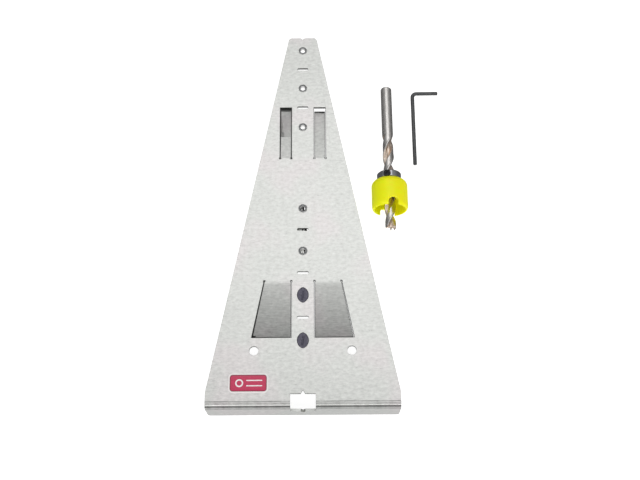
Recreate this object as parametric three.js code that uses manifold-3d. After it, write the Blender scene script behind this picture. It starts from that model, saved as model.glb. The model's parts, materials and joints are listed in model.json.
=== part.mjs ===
// A drilling jig folded from one steel sheet, with the stop drill and the hex key that belong to it.
// Units are millimetres and +Z is up. The sheet stands on the free edge of its fence and on its tip,
// as it does on a bench, and the drill and the key lie beside it.
import * as THREE from 'three';
import { mergeVertices } from 'three/addons/utils/BufferGeometryUtils.js';
import Module from 'manifold-3d';

const wasm = await Module();
wasm.setup();

// ---- Driving dimensions -------------------------------------------------------------------------

// Sheet. In its own frame X is across, Y runs from the fence's outer face to the tip, Z = 0 is its top.
const SHEET = 2;
const LENGTH = 281;
const TIP_WIDTH = 20.4;
const FENCE_WIDTH = 130;
const STRAIGHT_END = 11;
const FENCE_DEPTH = 25;
const BEND_INNER = 2.3;
const BEND_OUTER = BEND_INNER + SHEET;
const TIP_CORNER = 2.4;
const FENCE_CORNER = 2.5;
const KERF = 0.25;

// Everything on the centre line sits on a grid of half the 32 mm system.
const FIRST_ROW = 46;
const ROW_PITCH = 16;
const PLUG_ROWS = [0, 2];
const SLOT_ROWS = [1, 3, 5, 11, 13];
const BUSH_ROWS = [4, 6, 10, 12, 14];

const BUSH = { outer: 2.9, bore: 1.8, proud: 0.15, below: 0.3, clearance: 0.2 };
const SLOT = { width: 8, height: 2 };
const PLUG = { width: 7.6, height: 10.6, point: 1.25, clearance: 0.2, proud: 0.6, flange: 1.2, flangeThick: 1.2 };
const SIDE_HOLE = { x: 33, y: 39, radius: 3.1 };
const WINDOW = { half: 8.5, top: 9.8, foot: 11.7, notchHalf: 1.5, notchUp: 2.5, notchDown: 3.3 };
const TIP_NOTCH = { half: 1.2, depth: 1.5 };
const LABEL = { x: -36.3, y: 17, width: 26.7, height: 13.3, corner: 3, thick: 0.2, gap: 0.15 };
const RELIEF_RADIUS = 0.5;

// Spring tongues cut from the sheet and set down out of its plane.
const NARROW = { inner: 8.3, outer: 16.4, hinge: 181, reach: 41, drop: 6.3, bevelLong: 1.3, bevelDeep: 0.9 };
const WIDE = { inner: 8, outer: 26.6, hinge: 88, reach: -40, drop: 3, bevelLong: 0.2, bevelDeep: 0.2 };
const SIDE_SLOPE = 0.2;

// Stop drill. Its own frame has Z along the axis, from the shank's end to the point.
const DRILL = { radius: 4, length: 114, shank: 39, chamfer: 0.8, lead: 40, web: 1.5, place: [61.7, 236.8] };
const POINT = { spike: 3, spikeRadius: 1.3, spur: 1.2 };
const COLLAR = { start: 70, head: 5.5, radius: 8.65, bevel: 0.7, bore: 4.3, step: 7, neck: 5.9, end: 86 };
const BEARING = { start: 78.3, width: 5, bore: 6.2, outer: 10.3, pitch: 8.25, ball: 1.05, count: 7 };
const RETAINER = { start: 83.8, width: 0.8, inner: 5.55, outer: 7.3, groove: 5.25, gapAngle: 50 };
const SLEEVE = { start: 75.8, end: 98.2, radius: 13, wall: 2, shoulder: 4.5, rim: 3, bore: 7.6, seat: 10.6 };
const CHIP_WINDOW = { upperHalf: 3.6, lowerHalf: 6, depth: 5.3, corner: 3.2, turn: 8 };
const CLAMP = { radius: 2.4, hole: 2.7, from: 4.6, to: 8.3, socket: 2.5, socketDeep: 2.2, turn: -13.3 };

// Hex key.
const KEY = { flats: 2.5, long: 57.3, short: 20, bend: 3, corner: [80.1, 235.3], turn: 0.4 };

const FINE = 32;
const degrees = THREE.MathUtils.degToRad;

// ---- Making and cutting solids ------------------------------------------------------------------

function solid(geometry) {
  geometry.deleteAttribute('normal');
  geometry.deleteAttribute('uv');
  const merged = mergeVertices(geometry, 1e-4);
  const vertProperties = new Float32Array(merged.attributes.position.array);
  const triVerts = new Uint32Array(merged.index.array);
  return new wasm.Manifold(new wasm.Mesh({ numProp: 3, vertProperties, triVerts }));
}

function geometryOf(body) {
  const mesh = body.getMesh();
  const geometry = new THREE.BufferGeometry();
  geometry.setAttribute('position', new THREE.BufferAttribute(mesh.vertProperties, 3));
  geometry.setIndex(new THREE.BufferAttribute(mesh.triVerts, 1));
  geometry.computeVertexNormals();
  return geometry;
}

function cutAll(body, cutters) {
  return cutters.reduce((left, cutter) => left.subtract(cutter), body);
}

// A closed outline from corners [x, y, radius], each rounded by an arc where it has a radius.
function outline(corners) {
  const shape = new THREE.Shape();
  corners.forEach(([x, y, radius = 0], index) => {
    const corner = new THREE.Vector2(x, y);
    const before = corners[(index + corners.length - 1) % corners.length];
    const after = corners[(index + 1) % corners.length];
    const back = new THREE.Vector2(before[0] - x, before[1] - y).normalize();
    const ahead = new THREE.Vector2(after[0] - x, after[1] - y).normalize();
    if (radius === 0) {
      if (index === 0) shape.moveTo(x, y);
      else shape.lineTo(x, y);
      return;
    }
    const half = Math.acos(back.dot(ahead)) / 2;
    const start = corner.clone().addScaledVector(back, radius / Math.tan(half));
    const end = corner.clone().addScaledVector(ahead, radius / Math.tan(half));
    const centre = corner.clone().addScaledVector(back.clone().add(ahead).normalize(), radius / Math.sin(half));
    if (index === 0) shape.moveTo(start.x, start.y);
    else shape.lineTo(start.x, start.y);
    const from = Math.atan2(start.y - centre.y, start.x - centre.x);
    const to = Math.atan2(end.y - centre.y, end.x - centre.x);
    shape.absarc(centre.x, centre.y, radius, from, to, back.cross(ahead) > 0);
  });
  shape.closePath();
  return shape;
}

function ellipse(x, y, radiusX, radiusY = radiusX) {
  return new THREE.Shape().absellipse(x, y, radiusX, radiusY, 0, 2 * Math.PI);
}

function extruded(shape, depth, segments = 8) {
  return new THREE.ExtrudeGeometry(shape, { depth, bevelEnabled: false, curveSegments: segments });
}

// A shape drawn in plan, standing from low to high.
function plan(shape, low, high, segments = 8) {
  return solid(extruded(shape, high - low, segments).translate(0, 0, low));
}

// A shape drawn in the YZ plane, running across from x = low to x = high.
function across(shape, low, high, segments = 8) {
  const turn = new THREE.Matrix4().makeBasis(
    new THREE.Vector3(0, 1, 0),
    new THREE.Vector3(0, 0, 1),
    new THREE.Vector3(1, 0, 0),
  );
  return solid(extruded(shape, high - low, segments).applyMatrix4(turn).translate(low, 0, 0));
}

// A shape drawn in the XZ plane, running from y = low to y = high.
function along(shape, low, high, segments = 8) {
  return solid(extruded(shape, high - low, segments).rotateX(Math.PI / 2).translate(0, high, 0));
}

// A profile of [radius, z] points turned about Z.
function turned(profile, segments = FINE) {
  const points = profile.map(([radius, z]) => new THREE.Vector2(radius, z));
  points.push(points[0].clone());
  return solid(new THREE.LatheGeometry(points, segments).rotateX(Math.PI / 2));
}

// Points of a quarter round from angle to angle about a centre, both in degrees.
function arc(centreRadius, centreZ, radius, from, to, steps = 5) {
  return Array.from({ length: steps + 1 }, (_, step) => {
    const angle = degrees(from + ((to - from) * step) / steps);
    return [centreRadius + radius * Math.cos(angle), centreZ + radius * Math.sin(angle)];
  });
}

// ---- Materials ----------------------------------------------------------------------------------

function finish(color, roughness, metalness) {
  return new THREE.MeshStandardMaterial({ color, roughness, metalness });
}

const sheetSteel = finish(0xd6d8d2, 0.42, 0.9);
const darkSteel = finish(0x55585c, 0.4, 0.9);
const plugRubber = finish(0x4a4858, 0.7, 0);
const labelFilm = finish(0xbe2850, 0.45, 0);
const drillSteel = finish(0xa79c92, 0.3, 1);
const collarSteel = finish(0x3c3e43, 0.3, 0.9);
const screwSteel = finish(0x26272a, 0.4, 0.8);
const bearingSteel = finish(0xc4c7ca, 0.2, 1);
const cageBrass = finish(0xb48c3c, 0.35, 0.9);
const sleevePlastic = finish(0xe4e414, 0.4, 0);
const keySteel = finish(0x484a4b, 0.45, 0.7);

function piece(group, name, body, material) {
  const mesh = new THREE.Mesh(geometryOf(body), material);
  mesh.name = name;
  group.add(mesh);
  return mesh;
}

// ---- Sheet --------------------------------------------------------------------------------------

const row = (index) => FIRST_ROW + ROW_PITCH * index;

// Side view: the flat sheet and the fence, joined by a round bend.
function foldedSection() {
  const shape = new THREE.Shape();
  shape.moveTo(LENGTH, -SHEET);
  shape.lineTo(LENGTH, 0);
  shape.lineTo(BEND_OUTER, 0);
  shape.absarc(BEND_OUTER, -BEND_OUTER, BEND_OUTER, Math.PI / 2, Math.PI, false);
  shape.lineTo(0, -FENCE_DEPTH);
  shape.lineTo(SHEET, -FENCE_DEPTH);
  shape.lineTo(SHEET, -BEND_OUTER);
  shape.absarc(BEND_OUTER, -BEND_OUTER, BEND_INNER, Math.PI, Math.PI / 2, true);
  shape.closePath();
  return shape;
}

function planOutline() {
  const tip = TIP_WIDTH / 2;
  const wide = FENCE_WIDTH / 2;
  return outline([
    [tip, LENGTH, TIP_CORNER],
    [-tip, LENGTH, TIP_CORNER],
    [-wide, STRAIGHT_END],
    [-wide, -SHEET],
    [wide, -SHEET],
    [wide, STRAIGHT_END],
  ]);
}

function frontOutline() {
  const wide = FENCE_WIDTH / 2;
  return outline([
    [-wide, SHEET],
    [-wide, -FENCE_DEPTH, FENCE_CORNER],
    [wide, -FENCE_DEPTH, FENCE_CORNER],
    [wide, SHEET],
  ]);
}

// Plan of a tongue on the +X side, grown (or shrunk) sideways by the given margin.
function tonguePlan(tongue, margin, root, end) {
  const slope = tongue.reach < 0 ? SIDE_SLOPE : 0;
  const sense = Math.sign(tongue.reach);
  const start = tongue.hinge - sense * root;
  const finishY = tongue.hinge + tongue.reach + sense * end;
  const outerAt = (y) => tongue.outer + slope * (tongue.hinge - y) + margin;
  return [
    [tongue.inner - margin, start],
    [outerAt(start), start],
    [outerAt(finishY), finishY],
    [tongue.inner - margin, finishY],
  ];
}

function mirrored(corners, side) {
  return side > 0 ? corners : corners.map(([x, y, radius]) => [-x, y, radius]).reverse();
}

// Plan of a plug at a row, grown by a margin: an ellipse whose sides are drawn in towards its two ends.
function pointedOval(index, margin, sides = 28) {
  return new THREE.Shape(Array.from({ length: sides }, (_, side) => {
    const angle = (2 * Math.PI * side) / sides;
    const sideways = Math.sign(Math.cos(angle)) * Math.abs(Math.cos(angle)) ** PLUG.point;
    return new THREE.Vector2(
      (PLUG.width / 2 + margin) * sideways,
      row(index) + (PLUG.height / 2 + margin) * Math.sin(angle));
  }));
}

// Opening around a tongue: the kerf on three sides and a round relief at each end of the bend.
function tongueOpening(tongue, side) {
  const opening = plan(outline(mirrored(tonguePlan(tongue, KERF / 2, 0, KERF / 2), side)), -2 * SHEET, SHEET);
  const reliefs = [tongue.inner, tongue.outer].map((x) =>
    plan(ellipse(side * x, tongue.hinge, RELIEF_RADIUS), -2 * SHEET, SHEET, 10));
  return reliefs.reduce((left, relief) => left.add(relief), opening);
}

// The tongue itself: its side view bends down at the hinge and ends in a bevel.
function tongueBody(tongue, side) {
  const root = 1;
  const sense = Math.sign(tongue.reach);
  const reach = Math.abs(tongue.reach) - KERF / 2;
  const drop = degrees(tongue.drop);
  const at = (length, deep) => [
    tongue.hinge + sense * (length * Math.cos(drop) - deep * Math.sin(drop)),
    -length * Math.sin(drop) - deep * Math.cos(drop),
  ];
  const section = outline([
    [tongue.hinge - sense * root, 0],
    [tongue.hinge, 0],
    at(reach - tongue.bevelLong, 0),
    at(reach, tongue.bevelDeep),
    at(reach, SHEET),
    [tongue.hinge - sense * SHEET * Math.tan(drop / 2), -SHEET],
    [tongue.hinge - sense * root, -SHEET],
  ]);
  const footprint = outline(mirrored(tonguePlan(tongue, -KERF / 2, root, 0), side));
  const low = side > 0 ? 0 : -FENCE_WIDTH / 2;
  return across(section, low, low + FENCE_WIDTH / 2).intersect(plan(footprint, -FENCE_DEPTH, SHEET));
}

function sheetBody() {
  const folded = across(foldedSection(), -FENCE_WIDTH, FENCE_WIDTH, 10);
  const shaped = folded
    .intersect(plan(planOutline(), -2 * FENCE_DEPTH, SHEET))
    .intersect(along(frontOutline(), -SHEET, LENGTH + SHEET));
  const through = (shape, segments) => plan(shape, -2 * SHEET, SHEET, segments);
  const slots = SLOT_ROWS.map((index) => {
    const halfWidth = SLOT.width / 2;
    const halfHeight = SLOT.height / 2;
    const round = halfHeight * 0.98;
    return through(outline([
      [-halfWidth, row(index) - halfHeight, round],
      [halfWidth, row(index) - halfHeight, round],
      [halfWidth, row(index) + halfHeight, round],
      [-halfWidth, row(index) + halfHeight, round],
    ]), 4);
  });
  const bushHoles = BUSH_ROWS.map((index) => through(ellipse(0, row(index), BUSH.outer + BUSH.clearance), 14));
  const plugHoles = PLUG_ROWS.map((index) => through(pointedOval(index, PLUG.clearance)));
  const sideHoles = [-1, 1].map((side) => through(ellipse(side * SIDE_HOLE.x, SIDE_HOLE.y, SIDE_HOLE.radius), 14));
  const tipNotch = through(outline([
    [-TIP_NOTCH.half, LENGTH + 1],
    [-TIP_NOTCH.half, LENGTH],
    [0, LENGTH - TIP_NOTCH.depth],
    [TIP_NOTCH.half, LENGTH],
    [TIP_NOTCH.half, LENGTH + 1],
  ]));
  const windowPlan = outline([
    [-WINDOW.half, -SHEET],
    [WINDOW.half, -SHEET],
    [WINDOW.half, WINDOW.top],
    [WINDOW.notchHalf, WINDOW.top],
    [0, WINDOW.top + WINDOW.notchUp],
    [-WINDOW.notchHalf, WINDOW.top],
    [-WINDOW.half, WINDOW.top],
  ]);
  const windowFoot = outline([
    [-WINDOW.notchHalf, -WINDOW.foot + 1],
    [-WINDOW.notchHalf, -WINDOW.foot],
    [0, -WINDOW.foot - WINDOW.notchDown],
    [WINDOW.notchHalf, -WINDOW.foot],
    [WINDOW.notchHalf, -WINDOW.foot + 1],
  ]);
  const openings = [-1, 1].flatMap((side) => [tongueOpening(NARROW, side), tongueOpening(WIDE, side)]);
  const cut = cutAll(shaped, [
    ...slots, ...bushHoles, ...plugHoles, ...sideHoles, ...openings, tipNotch,
    plan(windowPlan, -WINDOW.foot, SHEET),
    along(windowFoot, -SHEET, 2 * SHEET),
  ]);
  const tongues = [-1, 1].flatMap((side) => [tongueBody(NARROW, side), tongueBody(WIDE, side)]);
  return tongues.reduce((left, tongue) => left.add(tongue), cut);
}

function bushBody(index) {
  const top = BUSH.proud;
  const foot = -SHEET - BUSH.below;
  const ring = turned([
    [BUSH.bore + 0.3, top],
    [BUSH.bore, top - 0.3],
    [BUSH.bore, foot],
    [BUSH.outer, foot],
    [BUSH.outer, top - 0.15],
    [BUSH.outer - 0.15, top],
  ], 28);
  return ring.translate([0, row(index), 0]);
}

// Oval rubber plug: a grooved head in the hole and a wider gripping foot under the sheet.
function plugBody(index) {
  const foot = -SHEET - PLUG.clearance;
  const head = plan(pointedOval(index, 0), foot - 0.2, PLUG.proud);
  const flange = plan(pointedOval(index, PLUG.flange), foot - PLUG.flangeThick, foot);
  const groove = plan(ellipse(0, row(index), 0.5, PLUG.height / 2 - 1.5), PLUG.proud - 0.5, PLUG.proud + 1, 6);
  return head.add(flange).subtract(groove);
}

function labelBody() {
  const halfWidth = LABEL.width / 2;
  const halfHeight = LABEL.height / 2;
  return plan(outline([
    [LABEL.x - halfWidth, LABEL.y - halfHeight, LABEL.corner],
    [LABEL.x + halfWidth, LABEL.y - halfHeight, LABEL.corner],
    [LABEL.x + halfWidth, LABEL.y + halfHeight, LABEL.corner],
    [LABEL.x - halfWidth, LABEL.y + halfHeight, LABEL.corner],
  ]), LABEL.gap, LABEL.gap + LABEL.thick, 5);
}

function jig() {
  const group = new THREE.Group();
  piece(group, 'jig_plate', sheetBody(), sheetSteel);
  BUSH_ROWS.forEach((index, order) => piece(group, `guide_bush_${order + 1}`, bushBody(index), darkSteel));
  piece(group, 'grip_plug_lower', plugBody(PLUG_ROWS[0]), plugRubber);
  piece(group, 'grip_plug_upper', plugBody(PLUG_ROWS[1]), plugRubber);
  piece(group, 'label', labelBody(), labelFilm);
  // Tip down until the fence's free edge and the tip's lower edge are level.
  const lean = Math.atan((FENCE_DEPTH - SHEET) / (LENGTH - SHEET));
  group.rotation.x = -lean;
  group.position.z = LENGTH * Math.sin(lean) + SHEET * Math.cos(lean);
  return group;
}

// ---- Stop drill ---------------------------------------------------------------------------------

// Two flutes: lands at the full radius, hollows down to the web, twisted by one turn per lead.
function drillBody() {
  const steps = 48;
  const sides = 16;
  const reach = DRILL.length - POINT.spike - DRILL.shank;
  const section = new THREE.Shape(Array.from({ length: sides }, (_, side) => {
    const angle = (2 * Math.PI * side) / sides;
    const hollow = Math.max(0, Math.sin(2 * angle)) ** 0.7;
    const radius = DRILL.radius - (DRILL.radius - DRILL.web) * hollow;
    return new THREE.Vector2(radius * Math.cos(angle), radius * Math.sin(angle));
  }));
  const fluted = new THREE.ExtrudeGeometry(section, { depth: reach, steps, bevelEnabled: false });
  const places = fluted.attributes.position;
  const point = new THREE.Vector3();
  const axis = new THREE.Vector3(0, 0, 1);
  for (let index = 0; index < places.count; index += 1) {
    point.fromBufferAttribute(places, index);
    point.applyAxisAngle(axis, (2 * Math.PI * point.z) / DRILL.lead);
    places.setXYZ(index, point.x, point.y, point.z + DRILL.shank);
  }
  const shank = turned([
    [0, 0],
    [DRILL.radius - DRILL.chamfer, 0],
    [DRILL.radius, DRILL.chamfer],
    [DRILL.radius, DRILL.shank + 0.5],
    [0, DRILL.shank + 0.5],
  ]);
  const spike = turned([
    [0, DRILL.length - POINT.spike - 1],
    [POINT.spikeRadius, DRILL.length - POINT.spike - 1],
    [POINT.spikeRadius, DRILL.length - POINT.spike],
    [0, DRILL.length],
  ], 10);
  return solid(fluted).add(shank).add(spike);
}

// A round hole or pin whose axis is square to the drill's, at a height along it.
function radialRod(radius, from, to, height, turn, segments = 20) {
  const rod = new THREE.CylinderGeometry(radius, radius, to - from, segments);
  rod.translate(0, (from + to) / 2, 0).rotateZ(-degrees(turn)).translate(0, 0, height);
  return solid(rod);
}

const CLAMP_HEIGHT = COLLAR.start + COLLAR.head / 2 + 0.1;
const clampTurns = [CLAMP.turn, CLAMP.turn + 180];

function collarBody() {
  const headEnd = COLLAR.start + COLLAR.head;
  const stepEnd = BEARING.start - 0.3;
  const body = turned([
    [COLLAR.bore, COLLAR.start],
    [COLLAR.radius - COLLAR.bevel, COLLAR.start],
    [COLLAR.radius, COLLAR.start + COLLAR.bevel],
    [COLLAR.radius, headEnd - COLLAR.bevel],
    [COLLAR.radius - COLLAR.bevel, headEnd],
    [COLLAR.step, headEnd],
    [COLLAR.step, stepEnd],
    [COLLAR.neck, stepEnd],
    [COLLAR.neck, RETAINER.start - 0.2],
    [RETAINER.groove, RETAINER.start - 0.2],
    [RETAINER.groove, RETAINER.start + RETAINER.width + 0.2],
    [COLLAR.neck, RETAINER.start + RETAINER.width + 0.2],
    [COLLAR.neck, COLLAR.end],
    [COLLAR.bore, COLLAR.end],
  ]);
  return cutAll(body, clampTurns.map((turn) =>
    radialRod(CLAMP.hole, COLLAR.bore - 1, COLLAR.radius + 1, CLAMP_HEIGHT, turn)));
}

function clampBody(turn) {
  const rod = radialRod(CLAMP.radius, CLAMP.from, CLAMP.to, CLAMP_HEIGHT, turn);
  const socket = radialRod(
    CLAMP.socket / Math.sqrt(3), CLAMP.to - CLAMP.socketDeep, CLAMP.to + 1, CLAMP_HEIGHT, turn, 6);
  return rod.subtract(socket);
}

// Ball races: each ring is grooved by an arc a little larger than the balls.
function innerRing() {
  const middle = BEARING.start + BEARING.width / 2;
  const land = BEARING.pitch - 0.95;
  return turned([
    [BEARING.bore, BEARING.start],
    [land, BEARING.start],
    ...arc(BEARING.pitch, middle, 1.3, 223, 137, 6),
    [land, BEARING.start + BEARING.width],
    [BEARING.bore, BEARING.start + BEARING.width],
  ]);
}

function outerRing() {
  const middle = BEARING.start + BEARING.width / 2;
  const land = BEARING.pitch + 0.95;
  return turned([
    [BEARING.outer, BEARING.start],
    [BEARING.outer, BEARING.start + BEARING.width],
    [land, BEARING.start + BEARING.width],
    ...arc(BEARING.pitch, middle, 1.3, 43, -43, 6),
    [land, BEARING.start],
  ]);
}

const ballTurns = Array.from({ length: BEARING.count }, (_, index) => (360 * index) / BEARING.count);

function cageBody() {
  const middle = BEARING.start + BEARING.width / 2;
  const ring = turned([
    [BEARING.pitch - 0.35, middle - 1.8],
    [BEARING.pitch + 0.35, middle - 1.8],
    [BEARING.pitch + 0.35, middle + 1.8],
    [BEARING.pitch - 0.35, middle + 1.8],
  ], 28);
  return cutAll(ring, ballTurns.map((turn) =>
    radialRod(1.35, BEARING.pitch - 1, BEARING.pitch + 1, middle, turn, 12)));
}

function ballBody(turn) {
  const ball = new THREE.SphereGeometry(BEARING.ball, 12, 8);
  ball.translate(0, BEARING.pitch, 0).rotateZ(-degrees(turn));
  return solid(ball.translate(0, 0, BEARING.start + BEARING.width / 2));
}

function retainerBody() {
  const ring = turned([
    [RETAINER.inner, RETAINER.start],
    [RETAINER.outer, RETAINER.start],
    [RETAINER.outer, RETAINER.start + RETAINER.width],
    [RETAINER.inner, RETAINER.start + RETAINER.width],
  ], 28);
  const reach = 2 * RETAINER.outer;
  const spread = reach * Math.tan(degrees(RETAINER.gapAngle / 2));
  const gap = outline([[0, 0], [spread, reach], [-spread, reach]]);
  return ring.subtract(plan(gap, RETAINER.start - 1, RETAINER.start + 2));
}

function sleeveBody() {
  const inner = SLEEVE.radius - SLEEVE.wall;
  const seatEnd = BEARING.start + BEARING.width + 0.2;
  const wallTop = SLEEVE.start + SLEEVE.wall;
  const rimArc = arc(0, 0, 1, 0, 90, 4).map(([wide, high]) => [
    SLEEVE.radius - SLEEVE.wall * 0.8 * (1 - wide),
    SLEEVE.end - SLEEVE.rim * (1 - high),
  ]);
  const body = turned([
    [SLEEVE.bore, SLEEVE.start],
    ...arc(SLEEVE.radius - SLEEVE.shoulder, SLEEVE.start + SLEEVE.shoulder, SLEEVE.shoulder, -90, 0, 6),
    ...rimArc,
    [inner, SLEEVE.end],
    [inner, seatEnd],
    [SLEEVE.seat, seatEnd],
    [SLEEVE.seat, wallTop],
    [SLEEVE.bore, wallTop],
  ], 40);
  const windows = chipWindow(CHIP_WINDOW.upperHalf, 0, SLEEVE.radius + 1)
    .add(chipWindow(CHIP_WINDOW.lowerHalf, -SLEEVE.radius - 1, 0));
  return body.subtract(windows.rotate([0, 0, -CHIP_WINDOW.turn]));
}

// A U-shaped cutter for the sleeve's rim, running from y = low to y = high.
function chipWindow(half, low, high) {
  const top = SLEEVE.end - CHIP_WINDOW.depth;
  return along(outline([
    [-half, SLEEVE.end + 1],
    [-half, top, CHIP_WINDOW.corner],
    [half, top, CHIP_WINDOW.corner],
    [half, SLEEVE.end + 1],
  ]), low, high, 6);
}

function stopDrill() {
  const group = new THREE.Group();
  piece(group, 'drill_bit', drillBody(), drillSteel);
  piece(group, 'stop_collar', collarBody(), collarSteel);
  piece(group, 'clamp_screw_front', clampBody(clampTurns[0]), screwSteel);
  piece(group, 'clamp_screw_rear', clampBody(clampTurns[1]), screwSteel);
  piece(group, 'bearing_inner_ring', innerRing(), bearingSteel);
  piece(group, 'bearing_outer_ring', outerRing(), bearingSteel);
  piece(group, 'ball_cage', cageBody(), cageBrass);
  ballTurns.forEach((turn, order) => piece(group, `bearing_ball_${order + 1}`, ballBody(turn), bearingSteel));
  piece(group, 'retaining_ring', retainerBody(), screwSteel);
  piece(group, 'stop_sleeve', sleeveBody(), sleevePlastic);
  // Lying down: the shank's end and the sleeve's shoulder touch the bench, and the point faces -Y.
  const shoulder = SLEEVE.start + SLEEVE.shoulder;
  const lean = Math.atan((SLEEVE.radius - DRILL.radius) / shoulder);
  group.rotation.x = Math.PI / 2 - lean;
  group.position.set(DRILL.place[0], DRILL.place[1], DRILL.radius * Math.cos(lean));
  return group;
}

// ---- Hex key ------------------------------------------------------------------------------------

function hexKey() {
  const half = KEY.flats / 2;
  const section = new THREE.Shape(Array.from({ length: 6 }, (_, side) => {
    const angle = degrees(60 * side + 30);
    return new THREE.Vector2(Math.cos(angle), Math.sin(angle)).multiplyScalar(KEY.flats / Math.sqrt(3));
  }));
  const route = new THREE.CurvePath();
  const bendStart = -half - KEY.bend;
  const bendEnd = half + KEY.bend;
  const quarter = new THREE.CubicBezierCurve3(
    new THREE.Vector3(half, bendStart, 0),
    new THREE.Vector3(half, bendStart + 0.5523 * KEY.bend, 0),
    new THREE.Vector3(bendEnd - 0.5523 * KEY.bend, -half, 0),
    new THREE.Vector3(bendEnd, -half, 0),
  );
  route.add(new THREE.LineCurve3(new THREE.Vector3(half, -KEY.long, 0), quarter.v0));
  route.add(quarter);
  route.add(new THREE.LineCurve3(quarter.v3, new THREE.Vector3(KEY.short, -half, 0)));
  const bar = new THREE.ExtrudeGeometry(section, { steps: 40, bevelEnabled: false, extrudePath: route });
  const group = new THREE.Group();
  piece(group, 'hex_key', solid(bar), keySteel);
  group.rotation.z = degrees(KEY.turn);
  group.position.set(KEY.corner[0], KEY.corner[1], half);
  return group;
}

// ---- The whole set ------------------------------------------------------------------------------

// The origin is under the middle of the set, on the bench.
const set = new THREE.Group();
set.add(jig(), stopDrill(), hexKey());
set.updateMatrixWorld(true);
const extent = new THREE.Box3().setFromObject(set, true);
const middle = extent.getCenter(new THREE.Vector3());
set.position.set(-middle.x, -middle.y, -extent.min.z);

export default set;
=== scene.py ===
"""A drilling jig folded from sheet steel, its stop drill and its hex key, finished around the CAD frame."""
import json
import math

import bmesh
import bpy
import numpy as np
from mathutils import Matrix, Vector


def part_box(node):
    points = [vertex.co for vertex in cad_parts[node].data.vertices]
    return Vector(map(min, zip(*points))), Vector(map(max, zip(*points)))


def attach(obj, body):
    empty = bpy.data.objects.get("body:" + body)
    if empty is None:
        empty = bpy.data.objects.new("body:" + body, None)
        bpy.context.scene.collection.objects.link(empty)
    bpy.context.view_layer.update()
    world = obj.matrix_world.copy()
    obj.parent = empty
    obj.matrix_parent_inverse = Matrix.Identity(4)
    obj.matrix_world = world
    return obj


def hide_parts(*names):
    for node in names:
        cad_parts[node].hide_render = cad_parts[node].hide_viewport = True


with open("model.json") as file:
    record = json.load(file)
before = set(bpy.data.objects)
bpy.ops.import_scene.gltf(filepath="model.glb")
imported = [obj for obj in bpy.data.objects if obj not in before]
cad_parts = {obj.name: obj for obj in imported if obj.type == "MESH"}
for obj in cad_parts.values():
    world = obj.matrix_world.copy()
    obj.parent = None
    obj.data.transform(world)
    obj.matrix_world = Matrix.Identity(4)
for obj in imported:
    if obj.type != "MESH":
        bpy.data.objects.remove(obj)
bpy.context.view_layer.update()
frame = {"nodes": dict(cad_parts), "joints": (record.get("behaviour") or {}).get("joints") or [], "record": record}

MM = 0.001
TURN = 2 * math.pi

# ---- Frames of reference, read from the CAD frame --------------------------------------------------

mounts = {mount["name"]: mount for mount in frame["record"]["mounts"]}
joints = {joint["name"]: joint for joint in frame["joints"]}

# Sheet: x across, y from the fence's outer face towards the tip, z out of its top face.
SHEET_X = np.array([1.0, 0.0, 0.0])
SHEET_Z = np.array(mounts["sheet_top"]["axis"])
SHEET_Y = np.cross(SHEET_Z, SHEET_X)
TOP_MOUNT = (30, 150)
SHEET_ORIGIN = np.array(mounts["sheet_top"]["pos_m"]) - MM * (
    TOP_MOUNT[0] * SHEET_X + TOP_MOUNT[1] * SHEET_Y)

# Drill: z along its axis from the shank's end to the point, y away from the bench.
DRILL_X = np.array([1.0, 0.0, 0.0])
DRILL_Z = np.array(joints["sleeve_spin"]["axis"])
DRILL_Y = np.cross(DRILL_Z, DRILL_X)
BEARING_MIDDLE = 80.8
DRILL_ORIGIN = np.array(joints["sleeve_spin"]["pos_m"]) - MM * BEARING_MIDDLE * DRILL_Z

# ---- Dimensions in millimetres ----------------------------------------------------------------------

SHEET = 2.0
FIRST_ROW = 46
ROW_PITCH = 16
BUSH_ROWS = (4, 6, 10, 12, 14)
PLUG_ROWS = {"grip_plug_lower": 0, "grip_plug_upper": 2}
PLUG_HALF_WIDTH = 3.8
PLUG_HALF_HEIGHT = 5.3
PLUG_POINT = 1.25
BUSH_BORE = 1.8
BUSH_RADIUS = 2.9
# Per tongue: its cut sides, bend and end, the length of the painted shadow band at its end, and the start and
# growth of the painted shade on its face.
TONGUES = (
    {"inner": 8.3, "outer": 16.4, "flare": 0.0, "hinge": 181.0, "end": 222.0,
     "end_shadow": 2.2, "painted_shade": (0.02, 0.02)},
    {"inner": 8.0, "outer": 26.6, "flare": 0.2, "hinge": 88.0, "end": 48.0,
     "end_shadow": 0.9, "painted_shade": (0.22, 0.36)},
)
# The press mark's place on the top face, then the depths round the fold of two painted shade bands.
PRESS_MARK = 4.7
DARK_BAND_DEPTH = 1.0
LOWER_BAND_DEPTH = 3.1
LABEL = {"x": -36.3, "y": 17.0, "half_width": 13.35, "half_height": 6.65, "corner": 3.0}

DRILL_RADIUS = 4.0
SHANK = 39.0
BODY_END = 111.0
DRILL_END = 114.0
LEAD = 40.0
WEB = 1.35
FLUTE_TURN = 47.0

SLEEVE_START = 75.8
SLEEVE_END = 98.2
SLEEVE_RADIUS = 12.8
SLEEVE_WALL = 1.8
SHOULDER = 4.5
RIM_ALONG = 3.0
RIM_IN = 1.6
WINDOW_HALVES = (3.6, 6.0)
WINDOW_CORNER = 3.2
WINDOW_DEEP = 5.3
WINDOW_TURN = 8.0
SLEEVE_BORE = 7.6
SEAT_RADIUS = 10.6
SEAT_END = 83.5

CLAMP_HEIGHT = 72.85
CLAMP_TURNS = {"clamp_screw_front": -13.3, "clamp_screw_rear": 166.7}
BALL_PITCH = 8.25
BALL_RADIUS = 1.05
BALLS = 7
RACE_HALF_WIDTH = 2.5
INNER_RACE = {"back": 6.2, "land": 7.3}
OUTER_RACE = {"back": 10.3, "land": 9.2}
RETAINER = 83.8
RETAINER_INNER = 5.55
RETAINER_OUTER = 6.75

KEY_FLATS = 2.5
KEY_LONG = 57.3
KEY_SHORT = 19.94
KEY_BEND = 3.0
KEY_TURN = 0.4


# ---- Meshes ---------------------------------------------------------------------------------------

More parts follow.
